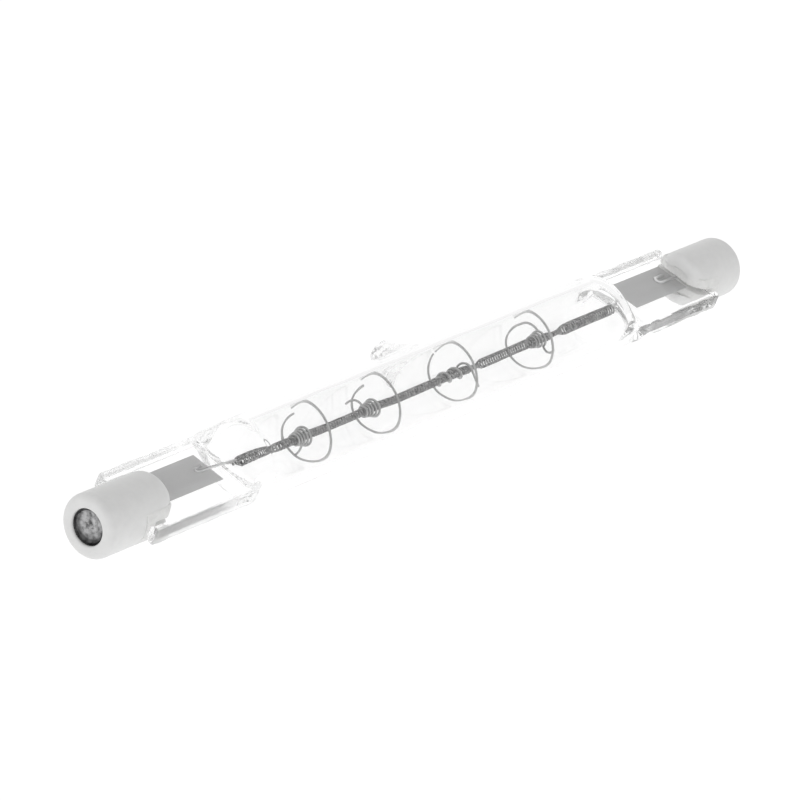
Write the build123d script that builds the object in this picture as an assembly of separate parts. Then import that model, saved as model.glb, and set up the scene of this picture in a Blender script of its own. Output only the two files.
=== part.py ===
from build123d import *
import math
import os

# Double-ended infrared quartz heat lamp, in millimetres.
# X runs along the lamp, Z is square to the flat press seals, and the exhaust tip points along +Y.
# The origin is on the tube's axis, midway between the two ends. "near" is the -X end, "far" the +X end.

# Whole lamp
overall_length = 117.6

# Quartz tube
tube_diameter = 9.7
tube_wall = 1.15

# Press seals: a thin web between two raised edge rails
near_seal_length = 15.6
far_seal_length = 14.4
seal_width = 10.4
web_thickness = 1.5
rail_height = 2.2
rail_width = 0.8
rail_rounding = 0.3
rail_taper = 4.0

# Shoulders, where the round tube is pressed down to the web
shoulder_run = 2.4
shoulder_foot_lap = 0.4
shoulder_radius = 3.0
web_fillet = 0.8
cavity_setback = 1.7
cavity_run = 2.2
cavity_radius = 2.4
cavity_tip_height = 0.9
cavity_tip_radius = 0.35

# Exhaust tip, drawn off and sealed on the side of the tube
exhaust_x = -0.5
exhaust_root_radius = 3.4
exhaust_root_depth = 1.45
exhaust_flare_radius = 4.0
exhaust_neck_radius = 1.6
exhaust_neck_height = 1.75
exhaust_end_radius = 1.35
exhaust_end_height = 2.35
exhaust_height = 2.75
exhaust_bore_radius = 0.6
exhaust_bore_end_radius = 0.15
exhaust_bore_height = 1.4
exhaust_bore_lap = 0.575

# Ceramic end caps
cap_diameter = 7.2
cap_length = 9.5
cap_end_rounding = 0.8
cap_mouth_chamfer = 0.2
slot_depth = 4.0
slot_height = 3.7
recess_diameter = 4.08
recess_depth = 0.8
recess_chamfer = 0.15
cap_hole_clearance = 0.05

# Cement that holds each cap on its press seal
cement_gap = 1.5
cement_recess = 0.35

# Contact buttons
button_diameter = 3.7
button_thickness = 1.7
button_rim = 0.22
button_dish = 0.9
button_pip_radius = 0.3
button_pip_depth = 0.2
shank_diameter = 1.5
shank_length = 1.2
button_clearance = 0.03

# Sealing foils
foil_length = 10.5
foil_width = 4.2
foil_thickness = 0.05
foil_setback = 2.2

# All wires are drawn with flat sides, and this is how many
wire_sides = 6

# Lead wires, each with a hairpin that is welded to its foil
inner_lead_diameter = 0.4
inner_weld_length = 1.9
inner_hairpin_leg = 0.8
inner_hairpin_pitch = 0.6
inner_lead_grip = 3.0
outer_lead_diameter = 0.6
outer_weld_length = 2.9
outer_hairpin_leg = 1.4
outer_hairpin_pitch = 0.9
outer_lead_reach = 2.1
lead_clearance = 0.02
weld_trim_width = 2.4

# Filament coil, as the outer form of its turns
filament_end_gap = 0.5
coil_diameter = 0.95
tight_coil_diameter = 1.3
full_coil_diameter = 1.15
neck_diameter = 0.64
near_tight_length = 4.4
far_tight_length = 8.6
coil_step = 0.5
neck_length = 1.6
neck_offset = 3.0

# Filament supports: flat spirals of wire, each a grip, an arm and a ring against the tube
support_positions = (-22.6, -10.2, 4.1, 18.8)
support_turns = (-78.0, -20.0, 165.0, 155.0)
support_gap_turn = 25.0
support_wire_diameter = 0.34
support_tube_clearance = 0.1
support_grip_clearance = 0.03
support_grip_halves = 2
support_grip_step = 0.21
support_ring_sweep = 325.0

# How near two corners count as the same point
same_point = 1e-6

# Worked out from the sizes above
half_length = overall_length / 2
tube_radius = tube_diameter / 2
bore_radius = tube_radius - tube_wall
cap_radius = cap_diameter / 2
cap_inner_x = half_length - cap_length
slot_end_x = cap_inner_x + slot_depth
seal_end_x = slot_end_x - cement_gap
near_web_x = seal_end_x - near_seal_length
far_web_x = seal_end_x - far_seal_length
foil_outer_x = seal_end_x - foil_setback
foil_inner_x = foil_outer_x - foil_length
recess_floor_x = half_length - recess_depth
button_seat_x = recess_floor_x - button_thickness
shank_end_x = button_seat_x - shank_length
dish_floor_x = recess_floor_x - button_dish
near_cavity_x = near_web_x - cavity_setback
far_cavity_x = far_web_x - cavity_setback
filament_near_x = -(near_cavity_x - filament_end_gap)
filament_far_x = far_cavity_x - filament_end_gap


def rod(radius, start, stop):
    """A round bar along X from start to stop."""
    return Pos((start + stop) / 2, 0, 0) * Rot(0, 90, 0) * Cylinder(radius, stop - start)


def block(x_range, y_range, z_range):
    """A box given by its lowest and highest X, Y and Z."""
    spans = (x_range, y_range, z_range)
    middle = [(low + high) / 2 for low, high in spans]
    return Pos(*middle) * Box(*(high - low for low, high in spans))


def at_near_end(shape):
    """The same piece at the -X end."""
    return mirror(shape, about=Plane.YZ)


def turned(profile):
    """A profile drawn as distance along X and radius, turned about the lamp's axis."""
    return revolve(Plane.XZ * profile, Axis.X)


def side_slab(near_points, far_points, convex, concave, half_depth):
    """A side outline, the same above and below the axis, drawn through the lamp along Y.

    Each end's points run from the seal to the tube's side. The last point is the shoulder, which
    takes the convex fillet, and the one before it is the foot, which takes the concave one.
    """
    upper = [(-x, z) for x, z in near_points] + [(x, z) for x, z in reversed(far_points)]
    lower = [(x, -z) for x, z in reversed(upper)]
    face = make_face(Polyline(*upper, *lower, close=True))
    shoulders = corners_at(face, near_points[-1]) + corners_at(face, far_points[-1])
    face = fillet(shoulders, convex)
    feet = corners_at(face, near_points[-2]) + corners_at(face, far_points[-2])
    face = fillet(feet, concave)
    return extrude(Plane.XZ * face, half_depth, both=True)


def corners_at(face, point):
    """The face's corners at this point, at either end and on either side of the axis."""
    place = Vector(*point)
    return [v for v in face.vertices() if (Vector(abs(v.X), abs(v.Y)) - place).length < same_point]


def shoulder_points(web_x):
    """One end of the outer side outline: the seal's end, the web's inner end and the shoulder."""
    foot_x = web_x - shoulder_foot_lap
    return [
        (seal_end_x, web_thickness / 2),
        (foot_x, web_thickness / 2),
        (foot_x - shoulder_run, tube_radius),
    ]


def cavity_points(cavity_x):
    """One end of the bore's side outline: its blunt tip and its shoulder."""
    return [
        (cavity_x, cavity_tip_height / 2),
        (cavity_x - cavity_run, bore_radius),
    ]


def pressed_tube():
    """The round tube with both ends pressed down to the webs."""
    slab = side_slab(
        shoulder_points(near_web_x), shoulder_points(far_web_x), shoulder_radius, web_fillet, seal_width
    )
    return slab & rod(tube_radius, -seal_end_x, seal_end_x)


def bore():
    """The gas space: the tube's bore, closing to a blunt wedge at each seal."""
    slab = side_slab(
        cavity_points(near_cavity_x), cavity_points(far_cavity_x), cavity_radius, cavity_tip_radius, seal_width
    )
    return slab & rod(bore_radius, -near_cavity_x, far_cavity_x)


def seal_web(web_x):
    """The thin web of one press seal."""
    half_width = seal_width / 2 - rail_width / 2
    return block(
        (web_x - web_fillet, seal_end_x), (-half_width, half_width), (-web_thickness / 2, web_thickness / 2)
    )


def seal_rail(web_x):
    """One raised edge of a press seal, growing out of the tube's side and rounded along its length."""
    outer = seal_width / 2
    inner = outer - rail_width
    start = web_x - rail_taper
    outline = make_face(
        Polyline(
            (start, inner),
            (start, tube_radius - rail_width / 2),
            (start + rail_taper, outer),
            (seal_end_x, outer),
            (seal_end_x, inner),
            close=True,
        )
    )
    rail = extrude(outline, rail_height / 2, both=True)
    long_edges = rail.edges().filter_by(Axis.X)
    return fillet(long_edges, rail_rounding)


def press_seal(web_x):
    """One whole press seal: the web between its two rails."""
    rail = seal_rail(web_x)
    return seal_web(web_x) + rail + mirror(rail, about=Plane.XZ)


def exhaust_tip():
    """The sealed stub on the tube's side: a flared root, a short neck and a rounded end."""
    root_y = tube_radius - exhaust_root_depth
    neck_y = tube_radius + exhaust_neck_height
    end_y = tube_radius + exhaust_end_height
    crown_height = exhaust_height - exhaust_end_height
    crown_x, crown_y = crown_middle(exhaust_end_radius, crown_height)
    outline = Curve() + [
        Line((0, root_y), (exhaust_root_radius, root_y)),
        RadiusArc((exhaust_root_radius, root_y), (exhaust_neck_radius, neck_y), -exhaust_flare_radius),
        Line((exhaust_neck_radius, neck_y), (exhaust_end_radius, end_y)),
        ThreePointArc((exhaust_end_radius, end_y), (crown_x, end_y + crown_y), (0, end_y + crown_height)),
        Line((0, end_y + crown_height), (0, root_y)),
    ]
    return Pos(exhaust_x, 0, 0) * revolve(make_face(outline), Axis.Y)


def sphere_through(radius, height):
    """The radius of the sphere whose cap has this rim radius and this height."""
    return (radius ** 2 + height ** 2) / (2 * height)


def crown_middle(radius, height):
    """Half way up the arc of a spherical cap: its distance from the axis and its height over the rim."""
    sphere_radius = sphere_through(radius, height)
    angle = math.asin(radius / sphere_radius) / 2
    return sphere_radius * math.sin(angle), sphere_radius * math.cos(angle) - (sphere_radius - height)


def exhaust_bore():
    """The narrow hole left inside the exhaust tip, open to the tube's bore."""
    start = bore_radius - exhaust_bore_lap
    stop = tube_radius + exhaust_bore_height
    cone = Cone(exhaust_bore_radius, exhaust_bore_end_radius, stop - start)
    return Pos(exhaust_x, (start + stop) / 2, 0) * Rot(-90, 0, 0) * cone


def quartz_envelope(embedded):
    """The whole quartz body, with room left for the foils and leads that are fused into it."""
    body = pressed_tube() + exhaust_tip()
    body += at_near_end(press_seal(near_web_x))
    body += press_seal(far_web_x)
    body -= bore() + exhaust_bore()
    for piece in embedded:
        body -= piece
    return body


def ceramic_cap():
    """The far cap: a round body, a slot for the press seal, and a recess for the contact."""
    body = rod(cap_radius, cap_inner_x, half_length)
    body = fillet(body.edges().sort_by(Axis.X)[-1], cap_end_rounding)
    body = chamfer(body.edges().sort_by(Axis.X)[0], cap_mouth_chamfer)
    recess = rod(recess_diameter / 2, recess_floor_x, half_length)
    recess += chamfer_cone(recess_diameter / 2, half_length, recess_chamfer)
    button_seat = rod(button_diameter / 2 + button_clearance, button_seat_x, recess_floor_x)
    shank_hole = rod(shank_diameter / 2 + cap_hole_clearance, cap_inner_x, button_seat_x)
    slot = block(
        (cap_inner_x, slot_end_x), (-cap_diameter, cap_diameter), (-slot_height / 2, slot_height / 2)
    )
    return body - recess - button_seat - shank_hole - slot


def chamfer_cone(radius, face_x, size):
    """The cone that breaks the edge of a hole at a face square to X."""
    cone = Cone(radius, radius + size, size)
    return Pos(face_x - size / 2, 0, 0) * Rot(0, 90, 0) * cone


def cap_cement(outer_lead):
    """The cement between the far cap's slot and the seal pushed into it."""
    half_slot = slot_height / 2
    fill = block((cap_inner_x + cement_recess, slot_end_x), (-cap_radius, cap_radius), (-half_slot, half_slot))
    fill &= rod(cap_radius - cement_recess, cap_inner_x, slot_end_x)
    return fill - press_seal(far_web_x) - outer_lead


def contact_button():
    """The far contact: a dished disc on a shank that is bored for the outer lead."""
    rim_radius = button_diameter / 2
    body = rod(rim_radius, button_seat_x, recess_floor_x)
    body += rod(shank_diameter / 2, shank_end_x, button_seat_x)
    body -= rod(outer_lead_diameter / 2 + lead_clearance, shank_end_x, shank_end_x + outer_lead_reach)
    sphere_radius = sphere_through(rim_radius - button_rim, button_dish)
    body -= Pos(dish_floor_x + sphere_radius, 0, 0) * Sphere(sphere_radius)
    pip = Cone(button_pip_radius, 0, 2 * button_pip_depth)
    return body - Pos(dish_floor_x, 0, 0) * Rot(0, -90, 0) * pip


def sealing_foil():
    """The far molybdenum foil, flat in the middle of the web."""
    half_width = foil_width / 2
    half_thickness = foil_thickness / 2
    return block((foil_inner_x, foil_outer_x), (-half_width, half_width), (-half_thickness, half_thickness))


def hairpin_wire(diameter, bend_x, end_x, leg, pitch):
    """A straight wire from end_x to a hairpin at bend_x, whose short leg lies pitch to the +Y side."""
    toward = 1 if end_x > bend_x else -1
    turn_x = bend_x + toward * pitch / 2
    leg_x = turn_x + toward * leg
    path = Polyline((end_x, 0), (turn_x, 0)) + ThreePointArc((turn_x, 0), (bend_x, pitch / 2), (turn_x, pitch))
    path += Line((turn_x, pitch), (leg_x, pitch))
    section = Plane(origin=(end_x, 0, 0), z_dir=(-toward, 0, 0)) * RegularPolygon(diameter / 2, wire_sides)
    return sweep(section, path=Wire(path.edges()))


def welded(wire, side):
    """The wire with its stretch over the foil pressed flat, so that it lies on that face of the foil."""
    reach = weld_trim_width
    face_z = foil_thickness / 2
    away = block((foil_inner_x, foil_outer_x), (-reach, reach), (-reach, face_z))
    if side < 0:
        away = mirror(away, about=Plane.XY)
    return wire - away


def inner_lead(filament_end_x, side):
    """The far inner lead, from its weld on the foil into the end of the filament."""
    weld_x = foil_inner_x + inner_weld_length
    end_x = filament_end_x - inner_lead_grip
    wire = hairpin_wire(inner_lead_diameter, weld_x, end_x, inner_hairpin_leg, inner_hairpin_pitch)
    return welded(wire, side)


def outer_lead():
    """The far outer lead, from its weld on the foil into the contact button's shank."""
    weld_x = foil_outer_x - outer_weld_length
    end_x = shank_end_x + outer_lead_reach
    wire = hairpin_wire(outer_lead_diameter, weld_x, end_x, outer_hairpin_leg, outer_hairpin_pitch)
    return welded(wire, 1)


def filament_outline():
    """The coil's outer radius along X: tight at both ends and drawn thin past the last two supports."""
    plain = coil_diameter / 2
    tight = tight_coil_diameter / 2
    full = full_coil_diameter / 2
    neck = neck_diameter / 2
    near_step_x = filament_near_x + near_tight_length
    far_step_x = filament_far_x - far_tight_length
    first_neck_x = support_positions[2] + neck_offset
    last_neck_x = far_step_x - coil_step - neck_length
    return [
        (filament_near_x, tight),
        (near_step_x, tight),
        (near_step_x + coil_step, plain),
        (first_neck_x, plain),
        (first_neck_x + coil_step, neck),
        (first_neck_x + neck_length, neck),
        (first_neck_x + neck_length + coil_step, full),
        (support_positions[3] - neck_offset, full),
        (support_positions[3] - neck_offset + coil_step, plain),
        (last_neck_x - coil_step, plain),
        (last_neck_x, neck),
        (last_neck_x + neck_length, neck),
        (far_step_x, tight),
        (filament_far_x, tight),
    ]


def filament():
    """The filament as the outer form of its coil, bored at both ends for the inner leads."""
    outline = [(filament_near_x, 0)] + filament_outline() + [(filament_far_x, 0)]
    coil = turned(make_face(Polyline(*outline, close=True)))
    hole = inner_lead_diameter / 2 + lead_clearance
    coil -= rod(hole, filament_near_x, filament_near_x + inner_lead_grip)
    coil -= rod(hole, filament_far_x - inner_lead_grip, filament_far_x)
    return coil


def wire_arc(start, centre, angle):
    """A bent stretch of support wire from a place on the spiral's line of centres, about a centre on it."""
    section = RegularPolygon(support_wire_diameter / 2, wire_sides)
    section = Plane(origin=(start, 0, 0), z_dir=(0, 1, 0)) * section
    return revolve(section, Axis((centre, 0, 0), (0, 0, 1)), angle)


def support_wire(turn):
    """One support in a flat plane: a spiral grip, an arm that ends at this turn, and an open ring."""
    wire_radius = support_wire_diameter / 2
    grip = coil_diameter / 2 + support_grip_clearance + wire_radius
    ring = bore_radius - support_tube_clearance - wire_radius
    place = grip
    side = 1
    wire = None
    for half in range(support_grip_halves):
        radius = grip + half * support_grip_step
        arc = wire_arc(place, place - side * radius, 180)
        wire = arc if wire is None else wire + arc
        place -= side * 2 * radius
        side = -side
    arm_end = -side * ring
    wire += wire_arc(place, (place + arm_end) / 2, 180)
    arm_turn = 0 if arm_end > 0 else 180
    gap = (360 - support_ring_sweep) / 2
    open_ring = Rot(0, 0, support_gap_turn + gap) * wire_arc(ring, 0, support_ring_sweep)
    return Rot(0, 0, turn - arm_turn) * wire + open_ring


def support_ring(x, turn):
    """One filament support, square to the lamp's axis."""
    return Pos(x, 0, 0) * Plane.YZ.location * support_wire(turn)


def lamp():
    """Every piece of the lamp by the name of its node."""
    far_lead = outer_lead()
    pieces = {
        "outer_lead_far": far_lead,
        "outer_lead_near": at_near_end(far_lead),
        "foil_far": sealing_foil(),
        "foil_near": at_near_end(sealing_foil()),
        "inner_lead_far": inner_lead(filament_far_x, -1),
        "inner_lead_near": at_near_end(inner_lead(-filament_near_x, 1)),
    }
    pieces["quartz_envelope"] = quartz_envelope(list(pieces.values()))
    for name, piece in (
        ("ceramic_cap", ceramic_cap()),
        ("cap_cement", cap_cement(far_lead)),
        ("contact_button", contact_button()),
    ):
        pieces[name + "_far"] = piece
        pieces[name + "_near"] = at_near_end(piece)
    pieces["filament"] = filament()
    for number, (x, turn) in enumerate(zip(support_positions, support_turns), start=1):
        pieces[f"support_ring_{number}"] = support_ring(x, turn)
    return pieces


os.makedirs("parts", exist_ok=True)
for name, piece in lamp().items():
    export_step(piece, f"parts/{name}.step")
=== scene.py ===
"""A double-ended infrared quartz heat lamp, dressed over its CAD frame.

X runs along the lamp, +Z is square to the flat press seals and +Y is the side of the exhaust tip.
"near" is the -X end and "far" the +X end. Sizes are in metres, with MM for the small ones.
"""

import math

import bmesh
import bpy
from bpy.props import FloatProperty, FloatVectorProperty, IntProperty, PointerProperty
from bpy.types import NodeSocket, Operator, Panel, PropertyGroup
from mathutils import Matrix, Vector
from mathutils.noise import noise as noise_at


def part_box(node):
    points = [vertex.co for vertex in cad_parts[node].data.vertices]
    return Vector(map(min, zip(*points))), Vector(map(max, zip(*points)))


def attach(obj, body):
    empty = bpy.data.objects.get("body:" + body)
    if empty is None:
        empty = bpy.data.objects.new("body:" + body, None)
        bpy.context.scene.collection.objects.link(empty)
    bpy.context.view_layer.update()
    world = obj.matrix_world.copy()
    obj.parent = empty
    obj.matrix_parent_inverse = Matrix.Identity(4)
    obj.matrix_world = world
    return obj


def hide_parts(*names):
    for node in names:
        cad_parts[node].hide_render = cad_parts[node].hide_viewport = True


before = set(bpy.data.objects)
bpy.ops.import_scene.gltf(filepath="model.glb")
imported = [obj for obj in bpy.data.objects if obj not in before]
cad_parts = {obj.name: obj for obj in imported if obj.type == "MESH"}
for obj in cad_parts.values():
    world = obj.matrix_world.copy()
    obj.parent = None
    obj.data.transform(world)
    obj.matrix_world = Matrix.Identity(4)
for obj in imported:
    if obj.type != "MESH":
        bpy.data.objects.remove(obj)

bl_info = {
    "name": "Quartz Heat Lamp",
    "version": (1, 0, 0),
    "blender": (4, 5, 0),
    "location": "View3D > Sidebar > Heat Lamp",
    "description": "Builds a double-ended infrared quartz heat lamp piece by piece",
    "category": "Add Mesh",
}

MM = 0.001
ENDS = {"near": -1.0, "far": 1.0}


# Sizes read from the frame

TUBE_LOW, TUBE_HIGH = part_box("quartz_envelope")
TUBE_RADIUS = TUBE_HIGH.z
SEAL_END = TUBE_HIGH.x
SEAL_HALF_WIDTH = -TUBE_LOW.y
EXHAUST_TOP = TUBE_HIGH.y
CAP_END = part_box("ceramic_cap_far")[1].x
CAP_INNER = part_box("ceramic_cap_far")[0].x
CAP_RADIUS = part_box("ceramic_cap_far")[1].z
FOIL_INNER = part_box("foil_far")[0].x
FOIL_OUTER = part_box("foil_far")[1].x
CONTACT_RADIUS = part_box("contact_button_far")[1].z
COIL_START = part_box("filament")[0].x
COIL_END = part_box("filament")[1].x
COIL_TAIL = 0.7 * MM
COIL_SPAN = COIL_END - COIL_START + COIL_TAIL
COIL_RADIUS = 0.65 * MM
RING_RADIUS = 3.5 * MM
RING_OFFSET = (0.14 * MM, 0.1 * MM)
SEATED_SHIFT = Vector((0.0, -0.16, -0.2)) * MM
GAS_END_GAP = 1.3 * MM
SEAL_SLANT = 1.4 * MM
SIDE_THINNING = 0.12
RIPPLES = (0.03, 0.22, 0.07)  # in millimetres: all over, waves on the seals' sides, and the sides' grain
TONGUE_HALF_WIDTH = 3.1 * MM
TONGUE_CORNERS = {"near": (1.4 * MM, 1.3 * MM), "far": (2.1 * MM, 1.2 * MM)}


# Properties


def length(name, text, default, least=0.0):
    """A length that a user may change, given in millimetres."""
    return FloatProperty(
        name=name, description=text, default=default * MM, min=least, subtype="DISTANCE", unit="LENGTH"
    )


def shade(name, default):
    """A colour that a user may change."""
    text = f"Colour of the {name.lower()}"
    return FloatVectorProperty(
        name=name, description=text, default=default, min=0.0, max=1.0, size=3, subtype="COLOR"
    )


def amount(name, text, default, most=1000.0):
    """A plain number that a user may change."""
    return FloatProperty(name=name, description=text, default=default, min=0.0, max=most)


class LampQuartzSizes(PropertyGroup):
    """Sizes of the quartz envelope."""

    wall: length("Wall", "Thickness of the tube's wall", 1.15)
    web: length("Web", "Thickness of the press seal's web", 1.5)
    rail: length("Rail Height", "Height of the seal's edge rails", 2.2)
    rail_width: length("Rail Width", "Width of each edge rail", 0.8)
    near_web: length("Near Web", "Distance of the near web's inner end from the middle", 36.2)
    far_web: length("Far Web", "Distance of the far web's inner end from the middle", 37.4)
    near_shoulder: length("Near Shoulder", "Length over which the tube is pressed flat at the near end", 3.3)
    far_shoulder: length("Far Shoulder", "Length over which the tube is pressed flat at the far end", 4.8)
    tip_place: length("Tip Place", "Place of the exhaust tip along the lamp", -0.5, -20.0 * MM)
    tip_root: length("Tip Root", "Radius of the exhaust tip's flared root", 3.7)
    tip_neck: length("Tip Neck", "Radius of the exhaust tip's neck", 1.45)
    foil_offset: FloatVectorProperty(
        name="Foil Offset",
        description="How far the foils lie off the middle of the webs",
        default=(0.45 * MM, 0.36 * MM, 0.56 * MM),
        size=3,
        subtype="TRANSLATION",
        unit="LENGTH",
    )


class LampCoilSizes(PropertyGroup):
    """Sizes of the filament and of its supports."""

    wire: length("Filament Wire", "Diameter of the filament's wire", 0.2)
    pitch: length("Filament Pitch", "Distance from turn to turn along the filament", 0.43)
    support_wire: length("Support Wire", "Diameter of the supports' wire", 0.27)
    sag: length("Sag", "How far the filament hangs between its supports", 0.25)


class LampColours(PropertyGroup):
    """Colours of the lamp's surfaces."""

    ceramic: shade("Ceramic", (0.8, 0.8, 0.795))
    cement: shade("Cement", (0.82, 0.82, 0.81))
    tungsten: shade("Tungsten", (0.27, 0.27, 0.27))
    support: shade("Support Wire", (0.4, 0.4, 0.4))
    lead: shade("Lead Wire", (0.72, 0.72, 0.72))
    foil: shade("Foil", (0.52, 0.52, 0.52))
    contact: shade("Contact", (0.42, 0.42, 0.425))


class LampStage(PropertyGroup):
    """Settings of the floor, the light and the camera."""

    floor_light: amount("Floor Glow", "Light that the floor itself gives the lamp", 0.68)
    floor_shown: amount("Floor White", "The floor's glow as the picture shows it", 0.82)
    floor_tone: amount("Floor Tone", "Reflectance of the floor", 0.35, 1.0)
    sky: amount("Sky", "Strength of the soft light overhead", 0.5)
    horizon: amount("Horizon", "Strength of the soft light from all sides", 0.95)
    surround: amount("Surround", "Brightness that gloss and glass show", 0.94)
    bounces: IntProperty(
        name="Bounces", description="How often light may turn inside the quartz", default=300, min=1
    )
    lens: amount("Lens", "Focal length of the camera in millimetres", 217.2)


# Materials


def new_material(name):
    """A material and its empty node tree."""
    material = bpy.data.materials.new(name)
    material.use_nodes = True
    material.node_tree.nodes.clear()
    return material, material.node_tree


def feed(tree, socket, value):
    """Gives an input its value: a number, a colour, or the output that it follows."""
    if isinstance(value, NodeSocket):
        tree.links.new(value, socket)
    else:
        socket.default_value = value


def add(tree, kind, *values, settings=None, **inputs):
    """A node with some settings, and inputs given in order or by name."""
    node = tree.nodes.new(kind)
    for key, setting in (settings or {}).items():
        setattr(node, key, setting)
    for socket, value in zip(node.inputs, values):
        feed(tree, socket, value)
    for key, value in inputs.items():
        feed(tree, node.inputs[key.replace("_", " ")], value)
    return node


def first_output(tree, kind, *values, **inputs):
    """The first output of a new node."""
    return add(tree, kind, *values, **inputs).outputs[0]


class Term:
    """A node's output that can be added, subtracted and multiplied like a number."""

    def __init__(self, tree, socket):
        self.tree = tree
        self.socket = socket

    def made(self, kind, *values, **inputs):
        """A term for the first output of a new node that this term feeds."""
        return Term(self.tree, first_output(self.tree, kind, self.socket, *values, **inputs))

    def maths(self, operation, *others):
        """This term through a Math node, with other terms or numbers."""
        values = [other.socket if isinstance(other, Term) else other for other in others]
        return self.made("ShaderNodeMath", *values, settings={"operation": operation})

    def __add__(self, other):
        return self.maths("ADD", other)

    def __sub__(self, other):
        return self.maths("SUBTRACT", other)

    def __mul__(self, other):
        return self.maths("MULTIPLY", other)

    def rise(self, start, stop, interpolation="SMOOTHSTEP"):
        """A rise from 0 to 1 as this term goes from start to stop."""
        settings = {"interpolation_type": interpolation}
        return self.made("ShaderNodeMapRange", settings=settings, From_Min=start, From_Max=stop)

    def curve(self, points):
        """This term through a Float Curve of (place, value) points with straight runs between them."""
        node = add(self.tree, "ShaderNodeFloatCurve", Value=self.socket)
        line = node.mapping.curves[0]
        while len(line.points) < len(points):
            line.points.new(0.5, 0.5)
        for point, (place, level) in zip(line.points, points):
            point.location = (place, level)
            point.handle_type = "VECTOR"
        node.mapping.use_clip = False
        node.mapping.update()
        return Term(self.tree, node.outputs["Value"])


def noise(tree, scale, detail=4.0, stretch=None):
    """A noise pattern over the piece's own coordinates, in patches of about one part in scale of a metre."""
    source = add(tree, "ShaderNodeTexCoord").outputs["Object"]
    if stretch:
        source = first_output(tree, "ShaderNodeMapping", Vector=source, Scale=stretch)
    return first_output(
        tree, "ShaderNodeTexNoise", Vector=source, Scale=scale, Detail=detail, Roughness=0.55
    )


def ramp(tree, factor, stops):
    """A colour ramp: stops are (place, grey or colour)."""
    node = add(tree, "ShaderNodeValToRGB", Fac=factor)
    elements = node.color_ramp.elements
    while len(elements) < len(stops):
        elements.new(0.5)
    for element, (place, tone) in zip(elements, stops):
        element.position = place
        element.color = (tone, tone, tone, 1.0) if isinstance(tone, float) else (*tone, 1.0)
    return node.outputs["Color"]


def mixed(tree, factor, first, second):
    """A colour between two others."""
    node = add(tree, "ShaderNodeMix", settings={"data_type": "RGBA"}, Factor=factor)
    sockets = [socket for socket in node.inputs if socket.type == "RGBA"]
    for socket, colour in zip(sockets, (first, second)):
        feed(tree, socket, colour)
    return next(socket for socket in node.outputs if socket.type == "RGBA")


def scaled(colour, factor):
    """The colour made darker or lighter."""
    return tuple(min(1.0, channel * factor) for channel in colour)


def bump(tree, height, distance, strength=1.0):
    """A bump from a height pattern."""
    return first_output(tree, "ShaderNodeBump", Strength=strength, Distance=distance, Height=height)


def opaque(
    name, colour, contrast, scale, roughness, metallic=0.0, *, relief, relief_scale=None, stretch=None
):
    """An opaque finish: mottled colour, uneven gloss and a fine relief."""
    material, tree = new_material(name)
    pattern = noise(tree, scale, stretch=stretch)
    grain = noise(tree, relief_scale or scale * 3.0, stretch=stretch)
    tones = [(0.3, scaled(colour, 1.0 - contrast)), (0.7, scaled(colour, 1.0 + contrast))]
    gloss = list(zip((0.25, 0.75), roughness))
    shader = first_output(
        tree,
        "ShaderNodeBsdfPrincipled",
        Metallic=metallic,
        Base_Color=ramp(tree, pattern, tones),
        Roughness=ramp(tree, pattern, gloss),
        Normal=bump(tree, grain, relief),
    )
    add(tree, "ShaderNodeOutputMaterial", shader)
    return material


def press_masks(tree):
    """Masks: the frosted sides of the rails, all that is pressed, the front half of the far end (where the
    rail's frost gets painted shade), the tip and its near side.
    """
    place = add(tree, "ShaderNodeTexCoord").outputs["Object"]
    x, y, _ = [Term(tree, part) for part in add(tree, "ShaderNodeSeparateXYZ", place).outputs]
    along = x.maths("ABSOLUTE")
    side = y.maths("ABSOLUTE")
    frost = along.rise(38.0 * MM, 41.0 * MM) * side.rise(4.5 * MM, 5.0 * MM)
    far_half = x.rise(-1.0 * MM, 1.0 * MM, "LINEAR")
    front_half = y.rise(1.0 * MM, -1.0 * MM, "LINEAR")
    tip = y.rise(5.0 * MM, 5.5 * MM, "LINEAR")
    tip_near = tip * x.rise(-0.6 * MM, -1.6 * MM, "LINEAR")
    pressed = along.rise(29.0 * MM, 34.0 * MM)
    return [mask.socket for mask in (frost, pressed, far_half * front_half, tip, tip_near)]


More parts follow.
